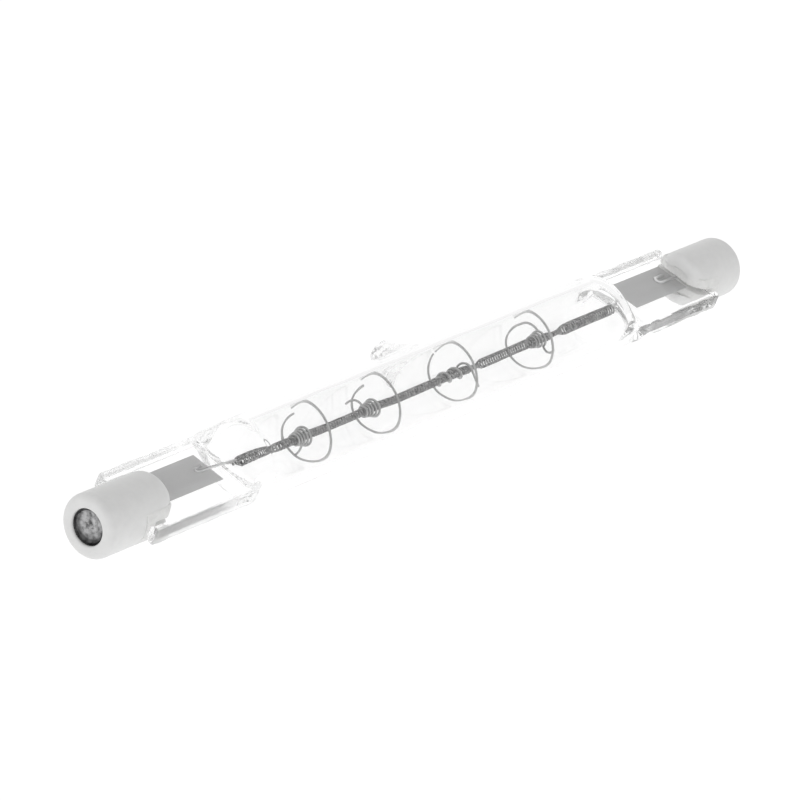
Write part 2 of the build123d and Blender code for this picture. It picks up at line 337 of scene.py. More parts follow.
def quartz_finish():
    """Clear fused quartz: faint ripples on the tube, a mottled frost on the rails of the pressed ends, tinted
    darker on the front of the far rail as painted shade and reflection.
    """
    material, tree = new_material("fused quartz")
    frost, pressed, far_rail, tip, tip_near = press_masks(tree)
    blown_tint = ramp(tree, noise(tree, 300.0), [(0.0, 0.953), (1.0, 0.966)])
    tip_tint = ramp(tree, noise(tree, 1200.0), [(0.3, 0.925), (0.7, 0.955)])
    speck_tint = ramp(tree, noise(tree, 1500.0), [(0.4, 0.35), (0.5, 0.95)])
    clear_tint = ramp(tree, noise(tree, 500.0), [(0.0, 0.997), (1.0, 1.0)])
    mottle = noise(tree, 900.0, stretch=(0.6, 1.0, 1.0))
    pale_frost = ramp(tree, noise(tree, 1300.0), [(0.38, 0.9), (0.56, 1.0)])
    # Painted shade and reflection: the frost on the front of the far rail is tinted darker than elsewhere.
    frost_with_painted_shade = ramp(tree, mottle, [(0.35, 0.7), (0.65, 0.93)])
    frost_tint_with_painted_shade = mixed(tree, far_rail, pale_frost, frost_with_painted_shade)
    blown_tint = mixed(tree, tip_near, mixed(tree, tip, blown_tint, tip_tint), speck_tint)
    tint = mixed(tree, frost, mixed(tree, pressed, blown_tint, clear_tint), frost_tint_with_painted_shade)
    pale_haze = ramp(tree, frost, [(0.0, 0.0), (1.0, 0.5)])
    dark_haze = ramp(tree, frost, [(0.0, 0.0), (1.0, 0.15)])
    ripples = noise(tree, 220.0, detail=2.0, stretch=(0.35, 1.0, 1.0))
    quartz = first_output(
        tree,
        "ShaderNodeBsdfPrincipled",
        IOR=1.46,
        Transmission_Weight=1.0,
        Base_Color=tint,
        Roughness=mixed(tree, far_rail, pale_haze, dark_haze),
        Normal=bump(tree, ripples, 0.12 * MM, 0.35),
    )
    shadow = add(tree, "ShaderNodeLightPath").outputs["Is Shadow Ray"]
    clear = first_output(tree, "ShaderNodeBsdfTransparent")
    mix = first_output(tree, "ShaderNodeMixShader", shadow, quartz, clear)
    add(tree, "ShaderNodeOutputMaterial", mix)
    return material


# Meshes


def smoothstep(value):
    """A smooth rise from 0 to 1."""
    value = max(0.0, min(1.0, value))
    return value * value * (3.0 - 2.0 * value)


def mesh_object(name, bm):
    """A new object with this mesh, placed at the origin."""
    mesh = bpy.data.meshes.new(name)
    bm.to_mesh(mesh)
    bm.free()
    return linked(name, mesh)


def linked(name, data):
    """A new object in the scene for a mesh or a camera."""
    item = bpy.data.objects.new(name, data)
    bpy.context.scene.collection.objects.link(item)
    return item


def smooth(item, angle=35.0):
    """Smooth shading with sharp edges kept past an angle in degrees."""
    mesh = item.data
    mesh.shade_smooth()
    mesh.set_sharp_from_angle(angle=math.radians(angle))
    return item


def frame_copy(node, angle=35.0):
    """A copy of a frame node's mesh, joined up and smooth."""
    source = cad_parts[node]
    bm = bmesh.new()
    bm.from_mesh(source.data)
    bmesh.ops.remove_doubles(bm, verts=bm.verts, dist=0.0005 * MM)
    return smooth(mesh_object(node + "_piece", bm), angle)


def modified(item, kind, **settings):
    """The object with a modifier of this kind applied."""
    modifier = item.modifiers.new(kind.lower(), kind)
    for key, setting in settings.items():
        setattr(modifier, key, setting)
    graph = bpy.context.evaluated_depsgraph_get()
    mesh = bpy.data.meshes.new_from_object(item.evaluated_get(graph))
    old = item.data
    item.modifiers.clear()
    item.data = mesh
    bpy.data.meshes.remove(old)
    return item


def softened(item, voxel, passes, soft_ends=0, end_from=0.0):
    """Rounds the edges of a closed body: remeshes it evenly, then relaxes it, more from end_from inwards."""
    modified(item, "REMESH", mode="VOXEL", voxel_size=voxel)
    modified(item, "SMOOTH", iterations=passes)
    if soft_ends:
        group = item.vertex_groups.new(name="inner end")
        for vertex in item.data.vertices:
            group.add([vertex.index], smoothstep((end_from - abs(vertex.co.x)) / (1.0 * MM)), "REPLACE")
        modified(item, "SMOOTH", iterations=soft_ends, vertex_group=group.name)
        item.vertex_groups.clear()
    item.data.shade_smooth()
    return item


def settle(item, node, material):
    """Gives a finished piece its material and its place on the lamp, and hides the frame node it stands for.
    """
    item.data.materials.clear()
    item.data.materials.append(material)
    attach(item, "root")
    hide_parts(node)


# Quartz envelope


def resample(points, count):
    """The points of an open line spaced evenly along its length, count + 1 of them."""
    steps = [0.0]
    for first, second in zip(points, points[1:]):
        steps.append(steps[-1] + math.dist(first, second))
    line = []
    index = 0
    for number in range(count + 1):
        goal = steps[-1] * number / count
        while index < len(points) - 2 and steps[index + 1] < goal:
            index += 1
        span = steps[index + 1] - steps[index] or 1.0
        share = (goal - steps[index]) / span
        line.append(tuple(a + (b - a) * share for a, b in zip(points[index], points[index + 1])))
    return line


def rounded_line(corners, radius, arc_steps=6):
    """An open line through corners with each inner corner rounded off."""
    line = [corners[0]]
    for before, corner, after in zip(corners, corners[1:], corners[2:]):
        back = min(radius, math.dist(before, corner) / 2)
        ahead = min(radius, math.dist(corner, after) / 2)
        start = Vector(corner).lerp(Vector(before), back / math.dist(before, corner))
        stop = Vector(corner).lerp(Vector(after), ahead / math.dist(corner, after))
        for step in range(arc_steps + 1):
            share = step / arc_steps
            first = start.lerp(Vector(corner), share)
            second = Vector(corner).lerp(stop, share)
            line.append(tuple(first.lerp(second, share)))
    line.append(corners[-1])
    return line


def whole_section(quarter):
    """A closed section from its quarter, which runs from the +Y side up to the +Z side."""
    upper = quarter + [(-y, z) for y, z in reversed(quarter[:-1])]
    return upper + [(y, -z) for y, z in reversed(upper[1:-1])]


def spaced(start, stop, gap):
    """Values from start to stop, about a gap apart."""
    count = max(1, int(round((stop - start) / gap)))
    return [start + (stop - start) * step / count for step in range(count + 1)]


class LampEnvelope:
    """The outer and inner skins of the quartz envelope as rows of section points along X."""

    quarter_steps = 30
    rail_rounding = 0.28 * MM
    arc_steps = 8
    spread_run = 5.0 * MM
    least_height = 0.04
    narrowing = 0.06
    shoulder_gap = 0.12 * MM
    seal_gap = 0.3 * MM
    tube_gap = 0.5 * MM

    def __init__(self, sizes):
        self.sizes = sizes
        count = self.quarter_steps
        turn = [math.pi / 2 * step / count for step in range(count + 1)]
        self.round = [(math.cos(angle), math.sin(angle)) for angle in turn]
        web = sizes.web / 2
        rail = sizes.rail / 2
        inner = SEAL_HALF_WIDTH - sizes.rail_width
        corners = [(SEAL_HALF_WIDTH, 0.0), (SEAL_HALF_WIDTH, rail), (inner, rail), (inner, web), (0.0, web)]
        self.pressed = resample(rounded_line(corners, self.rail_rounding), count)

    def shoulder(self, x):
        """Where the web starts at x's end of the lamp, and the length of that end's shoulder."""
        if x > 0:
            return self.sizes.far_web, self.sizes.far_shoulder
        return self.sizes.near_web, self.sizes.near_shoulder

    def outer_quarter(self, x):
        """The outer skin's quarter section at x."""
        web_start, run = self.shoulder(x)
        share = max(0.0, min(1.0, (abs(x) - web_start + run) / run))
        flat = smoothstep(share) if x > 0 else 1.0 - math.sqrt(1.0 - share ** 2)
        wide = smoothstep((abs(x) - web_start + self.spread_run) / self.spread_run)
        points = []
        for (cosine, sine), (y, z) in zip(self.round, self.pressed):
            across = TUBE_RADIUS * cosine * (1 - wide) + y * wide
            points.append((across, TUBE_RADIUS * sine * (1 - flat) + z * flat))
        return points

    def inner_quarter(self, x):
        """The inner skin's quarter section at x: round, then drawn to a flat wedge."""
        web_start, run = self.shoulder(x)
        radius = TUBE_RADIUS - self.sizes.wall
        run = 0.9 * run if x > 0 else run - GAS_END_GAP
        share = max(0.0, min(1.0, (abs(x) - (web_start - GAS_END_GAP) + run) / run))
        height = (1.0 - share ** 2.3) ** 0.8 if x > 0 else math.sqrt(1.0 - share ** 2)
        height = max(self.least_height, height)
        width = 1.0 - self.narrowing * smoothstep(share)
        return [(radius * width * cosine, radius * height * sine) for cosine, sine in self.round]

    def stations(self, gap, zone, rounding):
        """Places along X, close together in the shoulders and at the ends.

        gap is how far each end lies from where the web starts, inwards, or None for the seal's end.
        zone is how far before the web's start the close places begin, and how far past it they stop.
        """
        places = set()
        starts = []
        for sign, web_start in ((-1, self.sizes.near_web), (1, self.sizes.far_web)):
            start = web_start - zone[0]
            stop = web_start + zone[1]
            end = SEAL_END if gap is None else web_start - gap
            reaches = spaced(start, stop, self.shoulder_gap) + spaced(stop, end - rounding, self.seal_gap)
            for step in range(self.arc_steps + 1):
                reaches.append(end - rounding * (1 - math.cos(math.pi / 2 * step / self.arc_steps)))
            places.update(round(sign * reach, 9) for reach in reaches)
            starts.append(sign * start)
        places.update(round(place, 9) for place in spaced(*starts, self.tube_gap))
        return sorted(places)


def face(bm, *corners):
    """A face through the corners, where those that coincide count once."""
    distinct = list(dict.fromkeys(corners))
    if len(distinct) > 2:
        bm.faces.new(distinct)


def band(bm, outer, inner):
    """Faces between two rings of corners; a ring may be one corner repeated."""
    for index in range(len(outer)):
        after = (index + 1) % len(outer)
        face(bm, outer[index], outer[after], inner[after], inner[index])


def skin(bm, rows, patch):
    """Faces between rows of section points; patch is (row range, column range) to leave open."""
    grid = [[bm.verts.new(point) for point in row] for row in rows]
    count = len(rows[0])
    (first, last), columns = patch
    for row in range(len(rows) - 1):
        for column in range(count):
            if first <= row < last and in_columns(column, columns, count):
                continue
            after = (column + 1) % count
            bm.faces.new((grid[row][column], grid[row][after], grid[row + 1][after], grid[row + 1][column]))
    return grid


def in_columns(column, span, count):
    """Whether a column of faces lies in a span that may start below zero."""
    low, high = span
    return low <= column < high or low <= column - count < high


def close_end(bm, ring):
    """Closes a section symmetric about Y with strips between its upper and lower halves."""
    count = len(ring)
    for step in range(count // 2):
        face(bm, ring[step], ring[step + 1], ring[count - step - 1], ring[(count - step) % count])


def patch_edge(grid, rows, columns):
    """The corners around an open patch of a skin, in order."""
    first, last = rows
    low, high = columns
    edge = [grid[row][low] for row in range(first, last)]
    edge += [grid[last][column] for column in range(low, high)]
    edge += [grid[row][high] for row in range(last, first, -1)]
    edge += [grid[first][column] for column in range(high, low, -1)]
    return edge


def raised_patch(bm, edge, centre, radius, blend_rings, profile):
    """Rings from an open patch's edge in to a round spout that stands along +Y.

    radius is the skin's own, profile the spout's (distance from its axis, height along Y) from its
    root to its top.
    """
    weld_spot_and_painted_rim_shade = [edge]
    root = profile[0][0]
    top = profile[-1][1]
    for step in range(1, blend_rings + 1):
        share = step / blend_rings
        ring = []
        for vertex in edge:
            away = Vector((vertex.co.x - centre, vertex.co.z))
            place = away.lerp(away.normalized() * root, share)
            ring.append(bm.verts.new((centre + place.x, math.sqrt(radius ** 2 - place.y ** 2), place.y)))
        weld_spot_and_painted_rim_shade.append(ring)
    last_blend = weld_spot_and_painted_rim_shade[-1]
    reach = 0.16 * root
    for distance, height in profile[1:]:
        ring = []
        for vertex in last_blend:
            away = Vector((vertex.co.x - centre, vertex.co.z)).normalized() * distance
            foot = math.sqrt(radius ** 2 - away.y ** 2)
            apart = height - foot
            y = foot + (apart + math.sqrt(apart ** 2 + reach ** 2)) / 2 if apart > -2 * reach else foot
            y = foot + (y - foot) * smoothstep((root - distance) / (0.3 * root))
            ring.append(bm.verts.new((centre + away.x, min(y, top), away.y)))
        weld_spot_and_painted_rim_shade.append(ring)
    weld_spot_and_painted_rim_shade.append([bm.verts.new((centre, top, 0.0))] * len(edge))
    for outer, inner in zip(weld_spot_and_painted_rim_shade, weld_spot_and_painted_rim_shade[1:]):
        band(bm, outer, inner)


def skin_rows(stations, quarter_at, shrink=None):
    """Section points at each station, shrunk towards the axis where shrink says."""
    rows = []
    for x in stations:
        pull = shrink(x) if shrink else 0.0
        row = []
        for y, z in whole_section(quarter_at(x)):
            span = math.hypot(y, z)
            share = (span - pull) / span
            row.append((x, y * share, z * share))
        rows.append(row)
    return rows


def rippled(point, sizes):
    """A point of the outer skin moved in a little by the uneven surface that the press leaves on a seal."""
    x, y, z = point
    web_start = sizes.far_web if x > 0 else sizes.near_web
    pressed = smoothstep((abs(x) - web_start + 1.5 * MM) / (2.0 * MM))
    side = smoothstep((abs(y) - 3.8 * MM) / (0.8 * MM))
    place = Vector(point)
    wave = 0.5 + 0.5 * noise_at(place * 420.0)
    grain = 0.5 + 0.5 * noise_at(place * 1300.0)
    everywhere, waves, grains = RIPPLES
    depth = (everywhere + waves * side * wave + grains * side * grain) * MM * pressed
    inward = math.copysign(depth, y) * (side if y else 0.0)
    front = smoothstep((-y - 1.0 * MM) / (4.2 * MM))
    slant = SEAL_SLANT * front * smoothstep((-x - 45.0 * MM) / (6.0 * MM))
    return (x - slant, y - inward, z * (1.0 - SIDE_THINNING * side * wave * pressed))


def spouted_skin(rows, stations, place, spread, radius, blend_rings, profile):
    """A closed skin through rows of section points, with a spout raised from a patch around place."""
    bm = bmesh.new()
    columns = int(math.ceil(math.asin(spread / radius) / (math.pi / 2) * LampEnvelope.quarter_steps))
    first = max(index for index, x in enumerate(stations) if x <= place - spread)
    last = min(index for index, x in enumerate(stations) if x >= place + spread)
    patch = ((first, last), (-columns, columns))
    grid = skin(bm, rows, patch)
    close_end(bm, grid[0])
    close_end(bm, grid[-1])
    raised_patch(bm, patch_edge(grid, *patch), place, radius, blend_rings, profile)
    bmesh.ops.recalc_face_normals(bm, faces=bm.faces)
    return bm


def build_envelope(sizes):
    """The whole quartz body: its outer skin with the exhaust tip, and the gas space inside."""
    envelope = LampEnvelope(sizes)
    rounding = 0.22 * MM
    tip_spread = sizes.tip_root + 0.15 * MM
    hole_spread = 1.2 * MM

    def pull_in(x):
        """How far the section shrinks where the end's edge is rounded."""
        inside = SEAL_END - abs(x)
        if inside >= rounding:
            return 0.0
        return rounding - math.sqrt(max(0.0, rounding ** 2 - (rounding - inside) ** 2))

    stations = envelope.stations(None, (5.2 * MM, 0.6 * MM), rounding)
    rows = skin_rows(stations, envelope.outer_quarter, pull_in)
    rows = [[rippled(point, sizes) for point in row] for row in rows]
    outer = spouted_skin(rows, stations, sizes.tip_place, tip_spread, TUBE_RADIUS, 4, tip_profile(sizes))

    bore_radius = TUBE_RADIUS - sizes.wall
    stations = envelope.stations(GAS_END_GAP, (6.0 * MM, -1.35 * MM), 0.04 * MM)
    rows = skin_rows(stations, envelope.inner_quarter)
    hole = [(1.0, 0.0), (0.8, 0.08), (0.6, 0.4), (0.5, 1.0), (0.4, 1.6), (0.28, 2.2), (0.12, 2.5)]
    profile = [(distance * MM, bore_radius - 0.05 * MM + height * MM) for distance, height in hole]
    inner = spouted_skin(rows, stations, sizes.tip_place, hole_spread, bore_radius, 2, profile)
    bmesh.ops.reverse_faces(inner, faces=inner.faces)

    skins = [mesh_object(name, bm) for name, bm in (("outer skin", outer), ("gas space", inner))]
    return smooth(joined("quartz_envelope_piece", skins), 50.0)


def joined(name, items):
    """One object from several meshes, each of which is removed."""
    whole = bmesh.new()
    for item in items:
        whole.from_mesh(item.data)
        bpy.data.objects.remove(item)
    return mesh_object(name, whole)


def tip_profile(sizes):
    """The exhaust tip's outline: (distance from its axis, height along Y) from its root to its top."""
    top = EXHAUST_TOP
    root = sizes.tip_root
    neck = sizes.tip_neck
    base = math.sqrt(TUBE_RADIUS ** 2 - root ** 2)
    flare_top = TUBE_RADIUS + 2.1 * MM
    points = []
    for step in range(17):
        share = step / 16
        distance = neck + (root - neck) * (1 - share) ** 1.5
        points.append((distance, base + (flare_top - base) * share))
    crown_low = flare_top + 0.05 * MM
    crown = neck - 0.04 * MM
    for step in range(1, 9):
        angle = math.pi / 2 * step / 9
        points.append((crown * math.cos(angle), crown_low + (top - crown_low) * math.sin(angle)))
    points.append((0.04 * MM, top))
    return points


class LAMP_OT_envelope(Operator):
    """Build the quartz tube with its press seals and exhaust tip."""

    bl_idname = "lamp.envelope"
    bl_label = "Quartz Envelope"

    def execute(self, context):
        item = build_envelope(context.scene.lamp_quartz)
        settle(item, "quartz_envelope", quartz_finish())
        return {"FINISHED"}


# Caps, cement and contacts


def seated(item, end):
    """Sets what the near cap carries a little low and to the front, as the cement left it."""
    if end == "near":
        for vertex in item.data.vertices:
            vertex.co += SEATED_SHIFT
    return item


def lengthened(item, start, growth):
    """Draws the inner end of a cap's part, from start inwards, further along the seal."""
    for vertex in item.data.vertices:
        reach = abs(vertex.co.x)
        share = max(0.0, (start - reach) / (start - CAP_INNER))
        vertex.co.x -= math.copysign(growth * share, vertex.co.x)
    return item


def blunted(item, end, radius):
    """Rounds the outer edge of a cap's inner end, which lies at end, like the nose of a cast piece."""
    for vertex in item.data.vertices:
        x, y, z = vertex.co
        depth = abs(x) - end
        reach = math.hypot(y, z)
        if depth < radius and reach > 0.0:
            pull = radius - math.sqrt(max(0.0, radius ** 2 - (radius - max(depth, 0.0)) ** 2))
            share = 1.0 - pull * smoothstep((reach - 2.0 * MM) / (1.3 * MM)) / reach
            vertex.co.y = y * share
            vertex.co.z = z * share
    return item


def rounded_corners(item, end, half_width, corners):
    """Rounds the corners, seen from above, of a cap's or its cement's inner end, which lies at end.

    corners are the radii on the -Y side and on the +Y side.
    """
    for vertex in item.data.vertices:
        corner = corners[vertex.co.y > 0.0]
        depth = abs(vertex.co.x) - end
        side = min(corner, max(0.0, abs(vertex.co.y) - half_width + corner))
        pull = corner - math.sqrt(corner ** 2 - side ** 2)
        share = 1.0 - smoothstep(depth / (2.2 * corner))
        vertex.co.x += math.copysign(pull * share, vertex.co.x)
    return item


class LAMP_OT_caps(Operator):
    """Build the two ceramic caps."""

    bl_idname = "lamp.caps"
    bl_label = "Ceramic Caps"
    near_growth = 0.7 * MM
    nose = 1.0 * MM
    voxel = 0.11 * MM

    def execute(self, context):
        colour = context.scene.lamp_colours.ceramic
        grain = {"relief": 0.02 * MM, "relief_scale": 2600.0}
        finish = opaque("cap ceramic", colour, 0.025, 900.0, (0.38, 0.52), **grain)
        for end in ENDS:
            node = f"ceramic_cap_{end}"
            growth = self.near_growth if end == "near" else 0.0
            item = lengthened(frame_copy(node), SEAL_END + 1.0 * MM, growth)
            item = softened(item, self.voxel, passes=5, soft_ends=30, end_from=CAP_INNER + 2.0 * MM)
            item = blunted(item, CAP_INNER - growth, self.nose)
            item = rounded_corners(item, CAP_INNER - growth, TONGUE_HALF_WIDTH, TONGUE_CORNERS[end])
            for vertex in item.data.vertices:
                # The remesh leaves the ends a hair past the frame's caps.
                vertex.co.x = max(-CAP_END, min(CAP_END, vertex.co.x))
            settle(seated(item, end), node, finish)
        return {"FINISHED"}


class LAMP_OT_cement(Operator):
    """Build the cement that holds the caps on the seals."""

    bl_idname = "lamp.cement"
    bl_label = "Cement"
    near_growth = 0.85 * MM
    swell = 0.115
    lumps = 0.04  # in millimetres
    voxel = 0.1 * MM

    def execute(self, context):
        colour = context.scene.lamp_colours.cement
        grain = {"relief": 0.08 * MM, "relief_scale": 2200.0}
        finish = opaque("cap cement", colour, 0.06, 1400.0, (0.8, 0.95), **grain)
        for end in ENDS:
            node = f"cap_cement_{end}"
            growth = self.near_growth if end == "near" else 0.0
            item = softened(lengthened(frame_copy(node), SEAL_END, growth), self.voxel, passes=4)
            for vertex in item.data.vertices:
                x, y, z = vertex.co
                swell = 1.0 + self.swell * smoothstep((math.hypot(y, z) - 2.2 * MM) / (0.8 * MM))
                vertex.co.y = y * swell
                vertex.co.z = z * swell
                vertex.co += vertex.normal * noise_at(vertex.co * 900.0) * self.lumps * MM
            inner_end = min(abs(vertex.co.x) for vertex in item.data.vertices)
            corners = [1.2 * radius for radius in TONGUE_CORNERS[end]]
            item = rounded_corners(item, inner_end, CAP_RADIUS, corners)
            settle(seated(item, end), node, finish)
        return {"FINISHED"}


def lathe(name, outline, steps):
    """A body turned about X from its outline of (X, radius), which starts and ends on the axis."""
    bm = bmesh.new()
    weld_spot_and_painted_rim_shade = []
    for x, radius in outline:
        if radius == 0.0:
            weld_spot_and_painted_rim_shade.append([bm.verts.new((x, 0.0, 0.0))] * steps)
            continue
        ring = []
        for step in range(steps):
            angle = math.tau * step / steps
            ring.append(bm.verts.new((x, radius * math.cos(angle), radius * math.sin(angle))))
        weld_spot_and_painted_rim_shade.append(ring)
    for first, second in zip(weld_spot_and_painted_rim_shade, weld_spot_and_painted_rim_shade[1:]):
        band(bm, first, second)
    bmesh.ops.recalc_face_normals(bm, faces=bm.faces)
    return mesh_object(name, bm)


def cup_finish(colour):
    """Stamped metal of a contact: painted shade darkening it towards its rim, a dark weld spot at its middle,
    with stains and small dents.
    """
    material, tree = new_material("contact metal")
    place = add(tree, "ShaderNodeTexCoord").outputs["Object"]
    flat = first_output(tree, "ShaderNodeMapping", Vector=place, Scale=(0.0, 1.0, 1.0))
    reach = add(tree, "ShaderNodeVectorMath", flat, settings={"operation": "LENGTH"}).outputs["Value"]
    share = (Term(tree, reach) * (1.0 / CONTACT_RADIUS)).socket
    # Painted shade: darker towards the rim, where the cup's wall lies in shade; the dark middle is the weld
    # spot.
    weld_spot_and_painted_rim_shade = [(0.0, 0.3), (0.2, 0.9), (0.75, 0.75), (0.9, 0.45), (0.98, 0.2)]
    weld_spot_and_painted_rim_shade = ramp(tree, share, weld_spot_and_painted_rim_shade)
    stains = ramp(tree, noise(tree, 1500.0), [(0.32, scaled(colour, 0.35)), (0.6, scaled(colour, 1.35))])
    shader = first_output(
        tree,
        "ShaderNodeBsdfPrincipled",
        Metallic=1.0,
        Base_Color=first_output(
            tree, "ShaderNodeVectorMath", weld_spot_and_painted_rim_shade, stains, settings={"operation": "MULTIPLY"}
        ),
        Roughness=ramp(tree, noise(tree, 2400.0), [(0.3, 0.2), (0.7, 0.45)]),
        Normal=bump(tree, noise(tree, 1900.0), 0.06 * MM),
    )
    add(tree, "ShaderNodeOutputMaterial", shader)
    return material


class LAMP_OT_contacts(Operator):
    """Build the two recessed contacts: dished metal cups, each on its shank."""

    bl_idname = "lamp.contacts"
    bl_label = "Contacts"

    def execute(self, context):
        finish = cup_finish(context.scene.lamp_colours.contact)
        for end, sign in ENDS.items():
            outline = [(sign * x * MM, radius * MM) for x, radius in self.outline()]
            cup = lathe(f"contact_button_{end}_piece", outline, 64)
            settle(seated(smooth(cup, 40.0), end), f"contact_button_{end}", finish)
        return {"FINISHED"}

    def outline(self):
        """The cup as (distance along the lamp, radius) in millimetres: shank, back, lip, wall and floor."""
        low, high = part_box("contact_button_far")
        back = low.x / MM
        front = high.x / MM
        seat = high.z / MM
        points = [(back, 0.0), (back, 0.5), (back + 1.6, 0.5), (back + 1.8, seat - 0.05), (front - 0.1, seat)]
        points += [(front + 0.5, 2.0), (front + 0.56, 1.97), (front + 0.5, 1.94), (front + 0.3, 1.88)]
        for step in range(1, 9):
            angle = math.pi / 2 * step / 8
            points.append((front + 0.25 - 0.32 * math.sin(angle), 1.84 - 1.4 * (1 - math.cos(angle))))
        points += [(front - 0.08, 0.36), (front - 0.02, 0.28), (front - 0.12, 0.16), (front - 0.2, 0.0)]
        return points


# Foils and leads


def raised(item, offset):
    """Shifts what lies in the seals, and bends a lead back to the axis past both ends of its foil."""
    bend = 3.0 * MM
    along, across, up = offset
    for vertex in item.data.vertices:
        reach = abs(vertex.co.x)
        inside = smoothstep((reach - FOIL_INNER + bend) / bend)
        outside = smoothstep((reach - FOIL_OUTER) / bend)
        shift = Vector((-math.copysign(along, vertex.co.x), across, up))
        vertex.co += shift * inside * (1.0 - outside)
    return item


class LAMP_OT_foils(Operator):
    """Build the two sealing foils."""

    bl_idname = "lamp.foils"
    bl_label = "Sealing Foils"
    widening = 1.08
    sideways = 0.1 * MM

    def execute(self, context):
        colour = context.scene.lamp_colours.foil
        grain = {"stretch": (0.15, 1.0, 1.0), "relief": 0.02 * MM}
        finish = opaque("foil", colour, 0.06, 700.0, (0.45, 0.6), 0.3, **grain)
        for end in ENDS:
            item = raised(frame_copy(f"foil_{end}"), context.scene.lamp_quartz.foil_offset)
            for vertex in item.data.vertices:
                vertex.co.y = self.widening * vertex.co.y + self.sideways
            settle(item, f"foil_{end}", finish)
        return {"FINISHED"}


class LAMP_OT_leads(Operator):
    """Build the inner and outer lead wires."""

    bl_idname = "lamp.leads"
    bl_label = "Lead Wires"

    def execute(self, context):
        colour = context.scene.lamp_colours.lead
        grain = {"stretch": (0.2, 1.0, 1.0), "relief": 0.01 * MM}
        finish = opaque("lead wire", colour, 0.12, 1500.0, (0.3, 0.45), 0.8, **grain)
        for end in ENDS:
            for kind in ("inner", "outer"):
                node = f"{kind}_lead_{end}"
                item = raised(frame_copy(node, 70.0), context.scene.lamp_quartz.foil_offset)
                settle(item, node, finish)
        return {"FINISHED"}


# Geometry node trees


def tree_with(name, inputs):
    """A geometry node tree with named inputs: (name, kind, default)."""
    tree = bpy.data.node_groups.new(name, "GeometryNodeTree")
    tree.interface.new_socket("Geometry", in_out="OUTPUT", socket_type="NodeSocketGeometry")
    for label, kind, default in inputs:
        socket = tree.interface.new_socket(label, in_out="INPUT", socket_type=kind)
        if default is not None:
            socket.default_value = default
    return tree


def wire_tree(name, inputs, steps, path):
    """A tree that bends a straight line of steps points into a wire's path and gives it a round section.

    path(share, read) gives X, Y and Z as terms for a share of the wire's length; read(label) is an input.
    """
    sockets = [("Wire Diameter", "NodeSocketFloat", 0.2 * MM), ("Steps", "NodeSocketInt", steps)]
    sockets += [(label, "NodeSocketFloat", default) for label, default in inputs.items()]
    tree = tree_with(name, sockets + [("Finish", "NodeSocketMaterial", None)])
    group = tree.nodes.new("NodeGroupInput")

    def read(label):
        """An input of the tree as a term."""
        return Term(tree, group.outputs[label])

    line = first_output(tree, "GeometryNodeCurvePrimitiveLine", End=(1.0, 0.0, 0.0))
    even = first_output(tree, "GeometryNodeResampleCurve", Curve=line, Count=group.outputs["Steps"])
    share = Term(tree, add(tree, "GeometryNodeSplineParameter").outputs["Factor"])
    place = first_output(tree, "ShaderNodeCombineXYZ", *[term.socket for term in path(share, read)])
    wire = first_output(tree, "GeometryNodeSetPosition", Geometry=even, Position=place)
    radius = (read("Wire Diameter") * 0.5).socket
    section = first_output(tree, "GeometryNodeCurvePrimitiveCircle", Resolution=8, Radius=radius)
    solid = first_output(
        tree, "GeometryNodeCurveToMesh", Curve=wire, Profile_Curve=section, Fill_Caps=True
    )
    real = first_output(tree, "GeometryNodeRealizeInstances", Geometry=solid)
    finish = group.outputs["Finish"]
    done = first_output(tree, "GeometryNodeSetMaterial", Geometry=real, Material=finish)
    add(tree, "NodeGroupOutput", done)
    return tree


def made_by(tree, name, values):
    """A plain mesh object made by a tree, with the modifier's inputs set by their identifiers."""
    carrier = linked(name + "_carrier", bpy.data.meshes.new(name + "_carrier"))
    modifier = carrier.modifiers.new("shape", "NODES")
    modifier.node_group = tree
    for socket in tree.interface.items_tree:
        if socket.in_out == "INPUT" and socket.name in values:
            modifier[socket.identifier] = values[socket.name]
    graph = bpy.context.evaluated_depsgraph_get()
    mesh = bpy.data.meshes.new_from_object(carrier.evaluated_get(graph))
    bpy.data.objects.remove(carrier)
    item = linked(name, mesh)
    mesh.name = name
    mesh.shade_smooth()
    return item


# Filament


COIL_RADIUS_ROWS = (  # place along the lamp in millimetres, share of the thickest radius
    (-34.7, 0.3), (-33.7, 0.38), (-33.5, 0.98), (-29.6, 1.0), (-28.2, 0.95), (-26.8, 0.83), (-23.0, 0.7),
    (-22.6, 0.78), (-22.2, 0.7), (-10.8, 0.7), (-10.2, 0.82), (-9.4, 0.72), (3.6, 0.76), (4.1, 0.84),
    (4.6, 0.74), (7.0, 0.72), (7.5, 0.42), (8.9, 0.42), (9.4, 0.9), (18.2, 0.9), (18.8, 0.8),
    (19.5, 0.72), (22.8, 0.7), (23.3, 0.42), (24.6, 0.42), (25.6, 0.98), (35.2, 1.0),
)
COIL_SAG_ROWS = (  # place along the lamp in millimetres, share of the sag
    (-34.7, 0.0), (-30.0, 0.15), (-26.0, 0.1), (-22.6, 0.0), (-19.0, 0.8), (-15.0, 0.6), (-10.2, 0.1),
    (-7.0, 1.0), (-2.0, 0.6), (4.1, 0.0), (7.2, 0.9), (11.0, 0.6), (18.8, 0.0), (22.5, 0.9),
    (27.0, 0.3), (35.2, 0.0),
)


def along_coil(rows):
    """The rows with each place given as a share of the coil's length."""
    return [((place * MM - COIL_START + COIL_TAIL) / COIL_SPAN, level) for place, level in rows]


def coil_tree():
    """The filament: a helix whose radius and sag follow the coil along the lamp."""

    def path(share, read):
        x = read("Start") + share * (read("End") - read("Start"))
        turn = share * read("Turns") * math.tau
        reach = share.curve(along_coil(COIL_RADIUS_ROWS)) * read("Radius")
        drop = share.curve(along_coil(COIL_SAG_ROWS)) * read("Sag")
        return x, reach * turn.maths("COSINE"), reach * turn.maths("SINE") - drop

    inputs = {
        "Start": COIL_START - COIL_TAIL,
        "End": COIL_END,
        "Turns": 300.0,
        "Radius": 0.55 * MM,
        "Sag": 0.25 * MM,
    }
    return wire_tree("filament coil", inputs, 4000, path)


